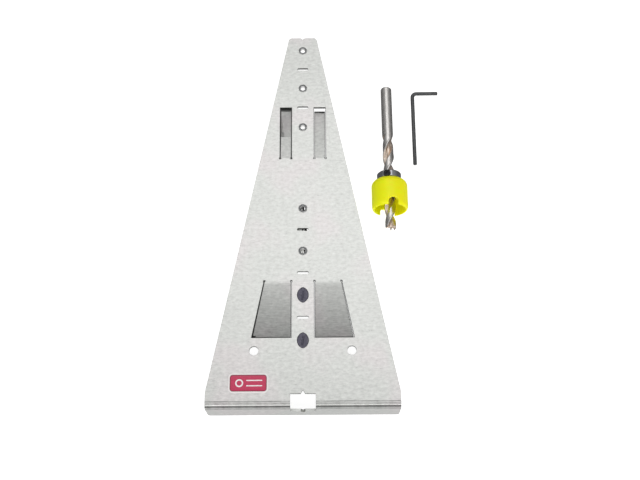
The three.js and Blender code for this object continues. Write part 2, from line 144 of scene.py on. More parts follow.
def placed(points, origin, x_axis, y_axis, z_axis):
    """Local millimetres to metres in the row frame: origin + x * x_axis + y * y_axis + z * z_axis."""
    points = np.asarray(points, float) * MM
    return origin + points[..., :1] * x_axis + points[..., 1:2] * y_axis + points[..., 2:] * z_axis


def on_sheet(points):
    """Points of the sheet's own frame in the row frame."""
    return placed(points, SHEET_ORIGIN, SHEET_X, SHEET_Y, SHEET_Z)


def on_drill(points):
    """Points of the drill's own frame in the row frame."""
    return placed(points, DRILL_ORIGIN, DRILL_X, DRILL_Y, DRILL_Z)


def grid_faces(rows, columns, ring):
    """Quads between neighbouring rows of a grid whose columns close on themselves. With ring the rows close
    too."""
    row = np.arange(rows if ring else rows - 1)[:, None]
    column = np.arange(columns)[None, :]
    next_row = (row + 1) % rows
    next_column = (column + 1) % columns
    return np.stack([
        row * columns + column,
        row * columns + next_column,
        next_row * columns + next_column,
        next_row * columns + column,
    ], axis=-1).reshape(-1, 4)


def faces_out(points, faces):
    """True if the faces enclose a positive volume, so that they point outwards."""
    corner = points[faces[:, :3]]
    volume = np.einsum("ij,ij->", corner[:, 0], np.cross(corner[:, 1], corner[:, 2]))
    if faces.shape[1] == 4:
        corner = points[faces[:, [0, 2, 3]]]
        volume += np.einsum("ij,ij->", corner[:, 0], np.cross(corner[:, 1], corner[:, 2]))
    return volume > 0


def grid_mesh(name, grid, place, ring=False):
    """A closed mesh from a (rows, columns, 3) grid. With ring it is a torus; otherwise the first and last
    rows are closed by a fan to the middle of each."""
    rows, columns = grid.shape[:2]
    points = place(grid.reshape(-1, 3))
    quads = grid_faces(rows, columns, ring)
    upright = faces_out(points - points.mean(0), quads)
    faces = [list(face) for face in (quads if upright else quads[:, ::-1]).tolist()]
    if not ring:
        ends = [points[:columns].mean(0), points[-columns:].mean(0)]
        column = np.arange(columns)
        following = (column + 1) % columns
        first = np.stack([following, column, np.full(columns, len(points))], axis=1)
        base = (rows - 1) * columns
        last = np.stack([base + column, base + following, np.full(columns, len(points) + 1)], axis=1)
        points = np.vstack([points, ends])
        fans = np.vstack([first, last])
        faces += (fans if upright else fans[:, ::-1]).tolist()
    mesh = bpy.data.meshes.new(name)
    mesh.from_pydata(points.tolist(), [], faces)
    return mesh


def turned_grid(profile, columns=96):
    """Each profile point (radius, z) carried round the z axis: x = radius cos, y = radius sin."""
    profile = np.asarray(profile, float)
    angle = np.linspace(0, TURN, columns, endpoint=False)[None, :]
    radius = profile[:, :1]
    height = np.broadcast_to(profile[:, 1:], (len(profile), columns))
    return np.stack([radius * np.cos(angle), radius * np.sin(angle), height], axis=-1)


def arc(centre_radius, centre_z, radius, start, end, steps=6):
    """Profile points of an arc about (centre_radius, centre_z), from start to end in degrees."""
    angle = np.radians(np.linspace(start, end, steps + 1))
    across = centre_radius + radius * np.cos(angle)
    along = centre_z + radius * np.sin(angle)
    return np.stack([across, along], axis=1).tolist()


def smooth(low, high, value):
    """0 below low, 1 above high, and 3t^2 - 2t^3 between."""
    share = np.clip((value - low) / (high - low), 0, 1)
    return share * share * (3 - 2 * share)


def piece(name, mesh, body, paint, replaces=(), sharp=35):
    """Puts a mesh into the scene as one finished piece of the object."""
    mesh.validate()
    mesh.shade_smooth()
    mesh.set_sharp_from_angle(angle=math.radians(sharp))
    obj = bpy.data.objects.new(name, mesh)
    bpy.context.scene.collection.objects.link(obj)
    mesh.materials.clear()
    mesh.materials.append(paint)
    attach(obj, body)
    if replaces:
        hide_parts(*replaces)
    return obj


def keep_flats(mesh, area=30e-6):
    """Makes every edge of a large face sharp, so that its shading stays flat right up to a gentle fold."""
    faces = np.array([face.area for face in mesh.polygons])
    corners = np.array([face.loop_total for face in mesh.polygons])
    edge = np.empty(len(mesh.loops), int)
    mesh.loops.foreach_get("edge_index", edge)
    largest = np.zeros(len(mesh.edges))
    np.maximum.at(largest, edge, np.repeat(faces, corners))
    sharp = np.empty(len(mesh.edges), bool)
    mesh.edges.foreach_get("use_edge_sharp", sharp)
    mesh.edges.foreach_set("use_edge_sharp", sharp | (largest > area))


def eased_copy(node, name, body, paint, width, segments=2, angle=25):
    """The CAD node's own shape with its triangles joined into whole faces and its edges eased by a small
    round. Known fault: the sheet's joined faces are split again wrongly and lie across some openings."""
    work = bmesh.new()
    work.from_mesh(frame["nodes"][node].data)
    bmesh.ops.remove_doubles(work, verts=work.verts, dist=1e-6)
    bmesh.ops.dissolve_limit(work, angle_limit=math.radians(0.5), verts=work.verts, edges=work.edges)
    mesh = bpy.data.meshes.new(name)
    work.to_mesh(mesh)
    work.free()
    obj = piece(name, mesh, body, paint, (node,))
    keep_flats(mesh)
    bevel = obj.modifiers.new("eased_edges", "BEVEL")
    bevel.width = width * MM
    bevel.segments = segments
    bevel.limit_method = "ANGLE"
    bevel.angle_limit = math.radians(angle)
    bevel.use_clamp_overlap = False
    bevel.loop_slide = False
    bevel.harden_normals = True
    return obj


# ---- Shader arithmetic ----------------------------------------------------------------------------

class Value:
    """One shader value. Arithmetic between values, or with numbers, adds the Math nodes for it."""

    def __init__(self, paint, socket):
        self.paint = paint
        self.socket = socket

    def math(self, operation, *terms):
        return self.paint.node("ShaderNodeMath", {"operation": operation}, dict(enumerate(terms)))

    def __add__(self, other):
        return self.math("ADD", self, other)

    def __radd__(self, other):
        return self.math("ADD", other, self)

    def __sub__(self, other):
        return self.math("SUBTRACT", self, other)

    def __rsub__(self, other):
        return self.math("SUBTRACT", other, self)

    def __mul__(self, other):
        return self.math("MULTIPLY", self, other)

    def __rmul__(self, other):
        return self.math("MULTIPLY", other, self)

    def __truediv__(self, other):
        return self.math("DIVIDE", self, other)

    def __pow__(self, other):
        return self.math("POWER", self, other)

    def size(self):
        return self.math("ABSOLUTE", self)

    def least(self, other):
        return self.math("MINIMUM", self, other)

    def most(self, other):
        return self.math("MAXIMUM", self, other)

    def ease(self, low, high):
        """0 below low, 1 above high, smooth between."""
        return self.paint.node("ShaderNodeMapRange", {"interpolation_type": "SMOOTHSTEP"}, {
            "Value": self, "From Min": low, "From Max": high, "To Min": 0.0, "To Max": 1.0})


class Paint:
    """One material: a Principled shader and the nodes that feed it."""

    def __init__(self, name, **settings):
        self.material = bpy.data.materials.new(name)
        self.material.use_nodes = True
        self.tree = self.material.node_tree
        self.shader = self.tree.nodes["Principled BSDF"]
        self.coords = self.node("ShaderNodeTexCoord", {}, {}, "Object")
        for socket, value in settings.items():
            self.shader.inputs[socket.replace("_", " ").title().replace("Ior", "IOR")].default_value = value

    def node(self, kind, settings, sockets, output=0):
        """Adds a node: its settings first (a ramp's stops among them), then its sockets' values or links."""
        made = self.tree.nodes.new(kind)
        for setting, value in settings.items():
            if setting == "stops":
                for index, (place, colour) in enumerate(value):
                    elements = made.color_ramp.elements
                    stop = elements[index] if index < 2 else elements.new(place)
                    stop.position = place
                    stop.color = (*colour, 1)
            else:
                setattr(made, setting, value)
        for socket, value in sockets.items():
            if isinstance(value, Value):
                self.tree.links.new(value.socket, made.inputs[socket])
            else:
                made.inputs[socket].default_value = value
        return Value(self, made.outputs[output])

    def feed(self, **links):
        """Links values to the shader's own sockets."""
        for socket, value in links.items():
            self.tree.links.new(value.socket, self.shader.inputs[socket.replace("_", " ").title()])
        return self.material

    def vector(self, operation, *terms, output=0):
        return self.node("ShaderNodeVectorMath", {"operation": operation}, dict(enumerate(terms)), output)

    def along(self, origin, axis):
        """Distance in millimetres from origin along an axis."""
        offset = self.vector("SUBTRACT", self.coords, tuple(origin))
        return self.vector("DOT_PRODUCT", offset, tuple(np.asarray(axis) / MM), output="Value")

    def join(self, x, y, z):
        return self.node("ShaderNodeCombineXYZ", {}, {0: x, 1: y, 2: z})

    def noise(self, where, scale, detail=3.0, roughness=0.5, output=0):
        return self.node("ShaderNodeTexNoise", {}, {
            "Vector": where, "Scale": scale, "Detail": detail, "Roughness": roughness}, output)

    def mix(self, share, first, second):
        """A colour: first where share is 0, second where it is 1."""
        colours = [(*c, 1) if isinstance(c, tuple) else c for c in (first, second)]
        return self.node("ShaderNodeMix", {"data_type": "RGBA"}, {0: share, 6: colours[0], 7: colours[1]}, 2)

    def shade(self, colour, amount):
        """A colour multiplied by a value."""
        grey = self.join(amount, amount, amount)
        return self.node("ShaderNodeMix", {"data_type": "RGBA", "blend_type": "MULTIPLY"}, {
            0: 1.0, 6: colour, 7: grey}, 2)

    def bump(self, height, depth, strength=1.0, under=None):
        sockets = {"Height": height, "Distance": depth * MM, "Strength": strength}
        if under is not None:
            sockets["Normal"] = under
        return self.node("ShaderNodeBump", {}, sockets)


def lengthwise(paint, origin, x_axis, y_axis, z_axis):
    """The piece's own coordinates in millimetres, as three values."""
    return (paint.along(origin, x_axis), paint.along(origin, y_axis), paint.along(origin, z_axis))


# ---- Finishes -------------------------------------------------------------------------------------

def tongue_marks(x, y, tongue):
    """Two masks: painted shade on a tongue's face, growing from its bend to its end, and painted shade along
    its cut sides, with a painted shadow band at its end and a dark spot where the cut stops at the bend."""
    across = x.size()
    reach = abs(tongue["end"] - tongue["hinge"])
    past = (y - tongue["hinge"]) * math.copysign(1, tongue["end"] - tongue["hinge"])
    inner = across - tongue["inner"]
    outer = across - tongue["outer"] - past * tongue["flare"]
    # Painted shade lines along the cuts, wider at the bend where the cut stops; a painted shadow band at the end.
    wide = 0.48 + (1 - past.size().ease(0.5, 1.0)) * 0.4
    side = 1 - (inner.size().least(outer.size()) / wide).ease(0.7, 1.2)
    side = side * past.ease(-0.9, -0.6) * (1 - past.ease(reach, reach + 0.4))
    on_face = inner.ease(-0.2, 0.1) * (1 - outer.ease(-0.1, 0.2)) * (1 - past.ease(reach, reach + 0.4))
    head = past.ease(reach - tongue["end_shadow"] - 0.2, reach - tongue["end_shadow"] + 0.2) * on_face
    least, gain = tongue["painted_shade"]
    # Painted shade: the face darkens from the bend towards the end.
    painted_shade = on_face * past.ease(0.0, 3.0) * (past * (gain / reach) + least)
    return painted_shade, side.most(head)


def rolled_sheet():
    """Stainless sheet: fine streaks across from rolling, a cloudy mottle, dark cut edges, a press mark on the
    top face where the fold starts, painted shade bands round the fold, and painted shade on the tongues."""
    paint = Paint("rolled_stainless_sheet", metallic=0.9)
    x, y, z = lengthwise(paint, SHEET_ORIGIN, SHEET_X, SHEET_Y, SHEET_Z)
    facing = paint.node("ShaderNodeNewGeometry", {}, {}, "Normal")
    level = paint.vector("DOT_PRODUCT", facing, tuple(SHEET_Z), output="Value")
    down = y - z
    streaks = paint.noise(paint.join(x * 0.12, down * 1.5, 0.0), 1.0, 4.0, 0.65)
    fine = paint.noise(paint.join(x * 0.3, down * 5.0, 0.0), 1.0, 2.0, 0.6)
    cloud = paint.noise(paint.join(x * 0.7, down, 0.0), 0.45, 4.0, 0.6)
    broad = paint.noise(paint.join(x, down, 0.0), 0.022, 2.0, 0.5)
    cut = (1 - level.size().ease(0.75, 0.93)) * y.ease(6.0, 8.0)
    depth = 0 - z
    bend = 1 - y.ease(4.6, 5.0)
    top_mark = (1 - (y - PRESS_MARK).size().ease(0.2, 0.5)) * level.ease(0.9, 0.99)
    top_mark = top_mark * streaks.ease(0.3, 0.55) * 0.55
    # Painted shade round the outside of the fold: a dim band, a dark band and a fainter lower band.
    painted_fold_shade = depth.ease(0.03, 0.2) * (1 - depth.ease(0.5, 0.7)) * 0.4
    painted_dark_band = (1 - (depth - DARK_BAND_DEPTH).size().ease(0.25, 0.5)) * 0.75
    painted_lower_band = (1 - (depth - LOWER_BAND_DEPTH).size().ease(0.4, 0.8)) * 0.3
    press_mark_and_painted_shade = top_mark.most(painted_fold_shade.most(painted_dark_band.most(painted_lower_band)) * bend)
    # Painted shade on the tongues: their faces darken towards their ends, with stronger streaks there, and dark
    # lines follow their cuts.
    painted_shade_narrow, kerf_shade_narrow = tongue_marks(x, y, TONGUES[0])
    painted_shade_wide, kerf_shade_wide = tongue_marks(x, y, TONGUES[1])
    painted_shade = painted_shade_narrow.most(painted_shade_wide)
    line = kerf_shade_narrow.most(kerf_shade_wide)
    tone = 0.66 + (streaks - 0.5) * (0.22 + painted_shade * 0.7) + (fine - 0.5) * (0.3 + painted_shade * 0.6)
    tone = tone + (cloud - 0.5) * 0.5 + (broad - 0.5) * 0.12
    tone = tone * (1 - painted_shade) * (1 - cut * 0.7) * (1 - press_mark_and_painted_shade) * (1 - line * 0.78)
    tint = paint.mix(broad.ease(0.45, 0.62), (0.985, 1.0, 0.965), (1.0, 0.968, 0.958))
    rough = 0.34 + (cloud - 0.5) * 0.2 + (streaks - 0.5) * 0.2 + cut * 0.2
    grain = paint.bump(streaks * 0.7 + fine * 0.3, 0.012, 0.5)
    return paint.feed(base_color=paint.shade(tint, tone), roughness=rough, normal=grain)


def turned_steel(name, colour, metallic, roughness, origin, x_axis, y_axis, z_axis, lines=3.0, wear=0.1):
    """Steel turned on a lathe: fine lines round the axis, a slight cloud in the tone."""
    paint = Paint(name, metallic=metallic)
    x, y, z = lengthwise(paint, origin, x_axis, y_axis, z_axis)
    radius = (x * x + y * y) ** 0.5
    line = paint.noise(paint.join(z * lines, radius * lines, 0.0), 1.0, 3.0, 0.7)
    cloud = paint.noise(paint.join(x, y, z), 0.9, 4.0, 0.6)
    tone = 1 + (line - 0.5) * wear * 2 + (cloud - 0.5) * wear
    rough = roughness + (cloud - 0.5) * 0.15 + (line - 0.5) * 0.15
    return paint.feed(
        base_color=paint.shade((*colour, 1), tone), roughness=rough, normal=paint.bump(line, 0.01, 0.5))


def blackened_shaded_bush(name, origin):
    """A hardened bush: its face is blackened and is also painted shade for the hole's shaded wall; its bore
    is ground bright and painted light as if lit through the hole, and its outer edge is ground bright.
    """
    paint = Paint(name, metallic=0.6)
    x, y, z = lengthwise(paint, origin, SHEET_X, SHEET_Y, SHEET_Z)
    radius = (x * x + y * y) ** 0.5
    cloud = paint.noise(paint.join(x, y, z), 1.2, 4.0, 0.6)
    past_bore = radius.ease(BUSH_BORE + 0.02, BUSH_BORE + 0.25)
    # Painted shade and light: the black face ring stands in for the hole's shaded wall as well as blackened steel,
    # and the pale bore stands in for light through the hole as well as ground steel.
    black_face_and_shade = past_bore * (1 - radius.ease(BUSH_RADIUS - 0.3, BUSH_RADIUS - 0.05))
    dark = paint.mix(cloud.ease(0.3, 0.7), (0.075, 0.078, 0.082), (0.13, 0.134, 0.14))
    colour = paint.mix(black_face_and_shade, (0.72, 0.72, 0.71), dark)
    rough = 0.3 + (cloud - 0.5) * 0.2
    return paint.feed(base_color=colour, roughness=rough, normal=paint.bump(cloud, 0.01, 0.4))


def ground_drill():
    """High-speed steel: a ground shank, bright lands, and flutes tinted a warm bronze."""
    paint = Paint("ground_high_speed_steel", metallic=1.0)
    x, y, z = lengthwise(paint, DRILL_ORIGIN, DRILL_X, DRILL_Y, DRILL_Z)
    radius = (x * x + y * y) ** 0.5
    rings = paint.noise(paint.join(z * 4.0, radius * 0.5, 0.0), 1.0, 4.0, 0.7)
    sweep = paint.noise(paint.join(x * 0.8, y * 0.8, z * 0.25), 1.0, 4.0, 0.6)
    flute = (1 - radius.ease(DRILL_RADIUS * 0.86, DRILL_RADIUS * 0.97)) * z.ease(SHANK - 2, SHANK + 1)
    plain = paint.mix(sweep.ease(0.35, 0.65), (0.56, 0.54, 0.52), (0.70, 0.68, 0.66))
    bronze = paint.mix(sweep.ease(0.35, 0.65), (0.66, 0.53, 0.43), (0.92, 0.79, 0.68))
    colour = paint.shade(paint.mix(flute, plain, bronze), 0.92 + rings * 0.16)
    rough = 0.24 + (rings - 0.5) * 0.2 + (sweep - 0.5) * 0.12 + flute * 0.06
    return paint.feed(base_color=colour, roughness=rough, normal=paint.bump(rings, 0.01, 0.45))


def moulded_sleeve():
    """Fluorescent yellow plastic: faint flow marks, a fine spark-eroded skin, and a painted shade tint,
    greener towards -x and warmer towards +x.
    """
    paint = Paint(
        "fluorescent_yellow_plastic", metallic=0.0, specular_ior_level=0.3, subsurface_weight=0.6,
        subsurface_radius=(1.0, 0.9, 0.1), subsurface_scale=0.003)
    x, y, z = lengthwise(paint, DRILL_ORIGIN, DRILL_X, DRILL_Y, DRILL_Z)
    flow = paint.noise(paint.join(x * 0.12, y * 0.12, z * 0.3), 1.0, 4.0, 0.6)
    skin = paint.noise(paint.join(x, y, z), 5.0, 2.0, 0.6)
    # Painted shade tint: the x ramp makes the -x side greener and the +x side warmer; the flow noise gives real
    # flow marks.
    side = flow.ease(0.3, 0.7) * 0.4 + x.ease(-14.0, 6.0) * 0.6
    colour = paint.mix(side, (0.85, 0.98, 0.003), (0.98, 0.87, 0.005))
    rough = 0.34 + (skin - 0.5) * 0.12 + (flow - 0.5) * 0.1
    return paint.feed(base_color=colour, roughness=rough, normal=paint.bump(skin, 0.015, 0.4))


def plug_rubber():
    """Dark violet-grey rubber with a dusty bloom."""
    paint = Paint("dark_plug_rubber", metallic=0.0)
    x, y, z = lengthwise(paint, SHEET_ORIGIN, SHEET_X, SHEET_Y, SHEET_Z)
    bloom = paint.noise(paint.join(x, y, z), 0.9, 5.0, 0.65)
    skin = paint.noise(paint.join(x, y, z), 6.0, 2.0, 0.6)
    colour = paint.mix(bloom.ease(0.3, 0.72), (0.062, 0.058, 0.085), (0.125, 0.118, 0.155))
    rough = 0.55 + (bloom - 0.5) * 0.25
    return paint.feed(base_color=colour, roughness=rough, normal=paint.bump(skin, 0.02, 0.5))


def printed_label():
    """Crimson film with a pale border and a plain white hole-and-line sign."""
    paint = Paint("printed_label_film", metallic=0.0, coat_weight=0.25, coat_roughness=0.2)
    x, y, z = lengthwise(paint, SHEET_ORIGIN, SHEET_X, SHEET_Y, SHEET_Z)
    across = (x - LABEL["x"]).size()
    up = (y - LABEL["y"]).size()
    inner_x = (across - (LABEL["half_width"] - LABEL["corner"])).most(0.0)
    inner_y = (up - (LABEL["half_height"] - LABEL["corner"])).most(0.0)
    reach = (inner_x * inner_x + inner_y * inner_y) ** 0.5
    field = 1 - reach.ease(LABEL["corner"] - 1.15, LABEL["corner"] - 0.95)
    rim = 1 - reach.ease(LABEL["corner"] - 1.75, LABEL["corner"] - 1.55)
    line_x = x - (LABEL["x"] - 6.0)
    ring = ((line_x * line_x + up * up) ** 0.5 - 2.2).size()
    bars = (1 - (up - 1.8).size().ease(0.3, 0.45)) * (1 - (x - (LABEL["x"] + 4.0)).size().ease(5.2, 5.4))
    sign = (1 - ring.ease(0.4, 0.55)).most(bars)
    grain = paint.noise(paint.join(x, y, z), 1.6, 4.0, 0.6)
    crimson = paint.mix(grain.ease(0.3, 0.7), (0.49, 0.018, 0.075), (0.56, 0.028, 0.10))
    inside = paint.mix(rim, (0.20, 0.01, 0.035), crimson)
    printed = paint.mix(sign, inside, (0.86, 0.84, 0.83))
    colour = paint.mix(field, (0.82, 0.78, 0.77), printed)
    rough = 0.38 + (grain - 0.5) * 0.15
    return paint.feed(base_color=colour, roughness=rough, normal=paint.bump(grain, 0.006, 0.4))


def oxide_key():
    """Dark grey phosphated steel, lighter where it has been handled."""
    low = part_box("hex_key")[0]
    paint = Paint("phosphated_key_steel", metallic=0.55)
    x, y, z = lengthwise(paint, np.array(low), SHEET_X, np.array([0, 1, 0]), np.array([0, 0, 1]))
    cloud = paint.noise(paint.join(x, y * 0.6, z), 0.7, 5.0, 0.65)
    skin = paint.noise(paint.join(x, y, z), 6.0, 3.0, 0.6)
    colour = paint.mix(cloud.ease(0.3, 0.75), (0.058, 0.060, 0.062), (0.105, 0.108, 0.110))
    rough = 0.42 + (cloud - 0.5) * 0.25
    return paint.feed(base_color=colour, roughness=rough, normal=paint.bump(skin, 0.015, 0.5))


DRILL_FRAME = (DRILL_ORIGIN, DRILL_X, DRILL_Y, DRILL_Z)
sheet_paint = rolled_sheet()
drill_paint = ground_drill()
sleeve_paint = moulded_sleeve()
rubber_paint = plug_rubber()
label_paint = printed_label()
key_paint = oxide_key()
collar_paint = turned_steel(
    "polished_collar_steel", (0.40, 0.41, 0.43), 1.0, 0.16, *DRILL_FRAME, lines=2.2)
screw_paint = turned_steel(
    "black_screw_steel", (0.045, 0.046, 0.05), 0.7, 0.32, *DRILL_FRAME, lines=5.0)
race_paint = turned_steel(
    "ground_bearing_steel", (0.72, 0.73, 0.74), 1.0, 0.14, *DRILL_FRAME, lines=6.0, wear=0.05)
cage_paint = turned_steel(
    "pressed_brass", (0.62, 0.44, 0.17), 1.0, 0.3, *DRILL_FRAME, lines=1.5)


# ---- The sheet and what sits in it ----------------------------------------------------------------

def row(index):
    """Height up the sheet of a row of the centre-line grid."""
    return FIRST_ROW + ROW_PITCH * index


def bush_grid():
    """A ring with rounded lips: the profile runs up the bore, over the top and down the outside."""
    top, foot, lip, ease = 0.15, -SHEET - 0.3, 0.3, 0.15
    return turned_grid([
        [BUSH_BORE, foot + lip],
        *arc(BUSH_BORE + lip, top - lip, lip, 180, 90, 4),
        *arc(BUSH_RADIUS - ease, top - ease, ease, 90, 0, 4),
        [BUSH_RADIUS, foot + ease],
        [BUSH_RADIUS - ease, foot],
        [BUSH_BORE + lip, foot],
    ], 72)


def plug_grid():
    """A pointed oval plug: each row is x = width * cos^point, y = height * sin, grown by an offset, and the
    head's crown has a groove along y that leans a little."""
    foot = [(-1.6, -3.4), (0.9, -3.4), (1.15, -3.15), (1.15, -2.45), (0.95, -2.2)]
    rows = foot + [(0.0, -2.15), (0.0, 0.12)]
    rows += [(offset - 0.45, height) for offset, height in arc(0.0, 0.12, 0.45, 0, 90, 5)[1:]]
    offsets = np.array([offset for offset, height in rows])
    heights = np.array([height for offset, height in rows])
    shrink = np.linspace(1.0, 0.02, 28)[1:]
    wide = np.concatenate([PLUG_HALF_WIDTH + offsets, (PLUG_HALF_WIDTH + offsets[-1]) * shrink])
    tall = np.concatenate([PLUG_HALF_HEIGHT + offsets, (PLUG_HALF_HEIGHT + offsets[-1]) * shrink])
    crown = np.concatenate([heights, heights[-1] + 0.03 * (1 - shrink ** 2)])
    angle = np.linspace(0, TURN, 128, endpoint=False)[None, :]
    x = wide[:, None] * np.sign(np.cos(angle)) * np.abs(np.cos(angle)) ** PLUG_POINT
    y = tall[:, None] * np.sin(angle)
    on_head = (np.arange(len(wide)) >= len(rows))[:, None]
    groove = np.exp(-((x - 0.12 * y) / 0.6) ** 2) * (1 - smooth(2.6, 4.4, np.abs(y))) * on_head
    z = crown[:, None] - 0.8 * groove
    return np.stack([x, y, z], axis=-1)


def label_grid():
    """A rounded rectangle shrunk row by row to its middle, a tenth of a millimetre thick."""
    columns = 96
    angle = np.linspace(0, TURN, columns, endpoint=False)
    power = 0.32
    corner = np.stack([
        LABEL["half_width"] * np.sign(np.cos(angle)) * np.abs(np.cos(angle)) ** power,
        LABEL["half_height"] * np.sign(np.sin(angle)) * np.abs(np.sin(angle)) ** power,
    ], axis=1)
    core = np.array([LABEL["half_width"] - LABEL["corner"], LABEL["half_height"] - LABEL["corner"]])
    inside = np.clip(corner, -core, core)
    away = corner - inside
    length = np.maximum(np.linalg.norm(away, axis=1, keepdims=True), 1e-9)
    edge = inside + away / length * LABEL["corner"]
    shrink = np.array([0.05, 0.5, 0.985, 1.0, 1.0, 0.99, 0.5, 0.05])
    height = np.array([0.01, 0.01, 0.01, 0.03, 0.12, 0.14, 0.14, 0.14])
    flat = shrink[:, None, None] * edge[None]
    grid = np.concatenate([flat, np.broadcast_to(height[:, None, None], (*flat.shape[:2], 1))], axis=-1)
    return grid + np.array([LABEL["x"], LABEL["y"], 0])


eased_copy("jig_plate", "folded_sheet", "jig", sheet_paint, 0.1)
for order, index in enumerate(BUSH_ROWS, 1):
    mesh = grid_mesh(f"bush_{order}", bush_grid() + np.array([0, row(index), 0]), on_sheet, ring=True)
    origin = SHEET_ORIGIN + row(index) * MM * SHEET_Y
    paint = blackened_shaded_bush(f"blackened_shaded_bush_{order}", origin)
    piece(f"bush_{order}", mesh, "jig", paint, (f"guide_bush_{order}",))
for node, index in PLUG_ROWS.items():
    mesh = grid_mesh(node + "_moulded", plug_grid() + np.array([0, row(index), 0]), on_sheet)
    piece(node + "_moulded", mesh, "jig", rubber_paint, (node,))
piece("printed_label", grid_mesh("printed_label", label_grid(), on_sheet), "jig", label_paint,
      ("label",), sharp=60)


# ---- Drill ----------------------------------------------------------------------------------------

def land_radius(phase):
    """Radius of the drill's section: a raised margin, a body set back from it, then a round flute down to
    the web."""
    share = np.mod(phase, math.pi) / math.pi
    margin = 1 - smooth(0.07, 0.10, share) + smooth(0.985, 1.0, share)
    body = DRILL_RADIUS * (0.955 + 0.045 * np.clip(margin, 0, 1))
    into = smooth(0.42, 0.60, share)
    out = 1 - smooth(0.86, 0.985, share)
    return body - (DRILL_RADIUS * 0.955 - WEB) * into * out


def drill_grid():
    """Rows of the section, turned by one turn per lead; the flutes fade in at the shank, and the end is a
    brad point: a cutting spur at each land and a spike on the axis."""
    columns = 144
    angle = np.linspace(0, TURN, columns, endpoint=False)[None, :]
    shank = np.array([[0.4, 0.25], [1.0, 0.0], [3.1, 0.0], [3.5, 0.15], [4.0, 0.85]])
    shank_rows = np.concatenate([shank[:, 1], np.linspace(3, SHANK - 2, 10)])
    shank_radius = np.concatenate([shank[:, 0], np.full(10, DRILL_RADIUS)])
    body_rows = np.linspace(SHANK - 1.5, BODY_END, 300)
    height = np.concatenate([shank_rows, body_rows])[:, None]
    depth = smooth(SHANK - 1.5, SHANK + 9, height)
    phase = angle - TURN * (height - BODY_END) / LEAD + math.radians(FLUTE_TURN)
    full = np.concatenate([shank_radius, np.full(len(body_rows), DRILL_RADIUS)])[:, None]
    radius = full - (DRILL_RADIUS - land_radius(phase)) * depth
    end_phase = angle + math.radians(FLUTE_TURN)
    end_radius = land_radius(end_phase)
    share = np.mod(end_phase, math.pi) / math.pi
    spur = 1.25 * (1 - smooth(0.02, 0.34, share)) + 0.2 * smooth(0.97, 1.0, share)
    lift = smooth(BODY_END - 6, BODY_END, height)
    lengthened = height + lift * spur * smooth(2.2, 3.6, radius)
    inward = np.linspace(1.0, 0.02, 44)[1:, None]
    cap_radius = inward * end_radius
    spike = (DRILL_END - BODY_END) * (1 - smooth(0.0, 1.25, cap_radius)) ** 1.1
    dish = 0.9 * smooth(0.9, 3.0, cap_radius) * smooth(0.2, 0.9, share)
    cap = BODY_END - dish * (1 - smooth(2.6, 3.9, cap_radius))
    cap = cap + spur * smooth(2.5, 3.6, cap_radius) + spike
    radii = np.vstack([radius, cap_radius])
    heights = np.vstack([lengthened, cap])
    return np.stack([radii * np.cos(angle), radii * np.sin(angle), heights], axis=-1)


piece("twist_drill", grid_mesh("twist_drill", drill_grid(), on_drill), "drill", drill_paint,
      ("drill_bit",), sharp=28)


# ---- Collar, screws and bearing -------------------------------------------------------------------

def screw_grid(columns=96):
    """A grub screw along z: thread ridges that climb as a helix, a chamfered cup end and a hexagon
    socket."""
    start, end, radius = 4.6, 8.25, 2.4
    angle = np.linspace(0, TURN, columns, endpoint=False)[None, :]
    pitch = 0.8
    side = np.linspace(start + 0.3, end - 0.3, 42)[:, None]
    wave = np.abs(np.mod(side / pitch - angle / TURN, 1) - 0.5) * 2
    fade = np.minimum(smooth(start + 0.2, start + 0.6, side), 1 - smooth(end - 0.6, end - 0.2, side))
    thread = radius - 0.28 * wave * fade - 0.16 * (1 - fade)
    wide = np.cos(math.pi / 6) / np.cos(np.mod(angle, math.pi / 3) - math.pi / 6)
    socket = wide * 2.5 / math.sqrt(3)
    ones = np.ones_like(angle)
    bottom = end - 2.0
    rows = [
        (0.1 * ones, start + 0.5), (0.9 * ones, start + 0.25), (1.5 * ones, start), (1.9 * ones, start),
    ]
    top = [
        (2.0 * ones, end), (1.75 * ones, end), (socket + 0.12, end), (socket, end - 0.14),
        (socket, end - 0.9), (socket, bottom + 0.05), (socket * 0.9, bottom - 0.02),
        (0.1 * ones, bottom - 0.6),
    ]
    radii = np.vstack([np.vstack([r for r, h in rows]), thread, np.vstack([r for r, h in top])])
    heights = np.concatenate([[h for r, h in rows], side[:, 0], [h for r, h in top]])[:, None] * ones
    return np.stack([radii * np.cos(angle), radii * np.sin(angle), heights], axis=-1)


def outward_from_axis(points, turn):
    """Turns a grid's z axis to point out of the drill's axis, at an angle from its y axis and at the clamp
    height."""
    angle = math.radians(turn)
    out = np.array([math.sin(angle), math.cos(angle), 0])
    side = np.array([math.cos(angle), -math.sin(angle), 0])
    along = np.array([0.0, 0.0, 1.0])
    flat = points[..., :1] * side + points[..., 1:2] * along
    return flat + points[..., 2:] * out + CLAMP_HEIGHT * along


def cage_grid(sense):
    """One half of the pressed cage: a thin ribbon that arches over each ball and lies flat between them."""
    columns = BALLS * 40
    angle = np.linspace(0, TURN, columns, endpoint=False)
    offset = (np.mod(angle * BALLS / TURN + 0.5, 1) - 0.5) * TURN / BALLS * BALL_PITCH
    arch = np.sqrt(np.maximum(0, (BALL_RADIUS + 0.32) ** 2 - offset ** 2))
    middle = np.maximum(0.22, arch)[None, :]
    corners = np.array([
        [-0.32, -0.14], [0.32, -0.14], [0.36, -0.08], [0.36, 0.08],
        [0.32, 0.14], [-0.32, 0.14], [-0.36, 0.08], [-0.36, -0.08]])
    radius = BALL_PITCH + corners[:, :1] + 0 * middle
    height = BEARING_MIDDLE + sense * (middle + corners[:, 1:])
    spin = math.pi / 2 - angle[None, :]
    return np.stack([radius * np.cos(spin), radius * np.sin(spin), height], axis=-1)


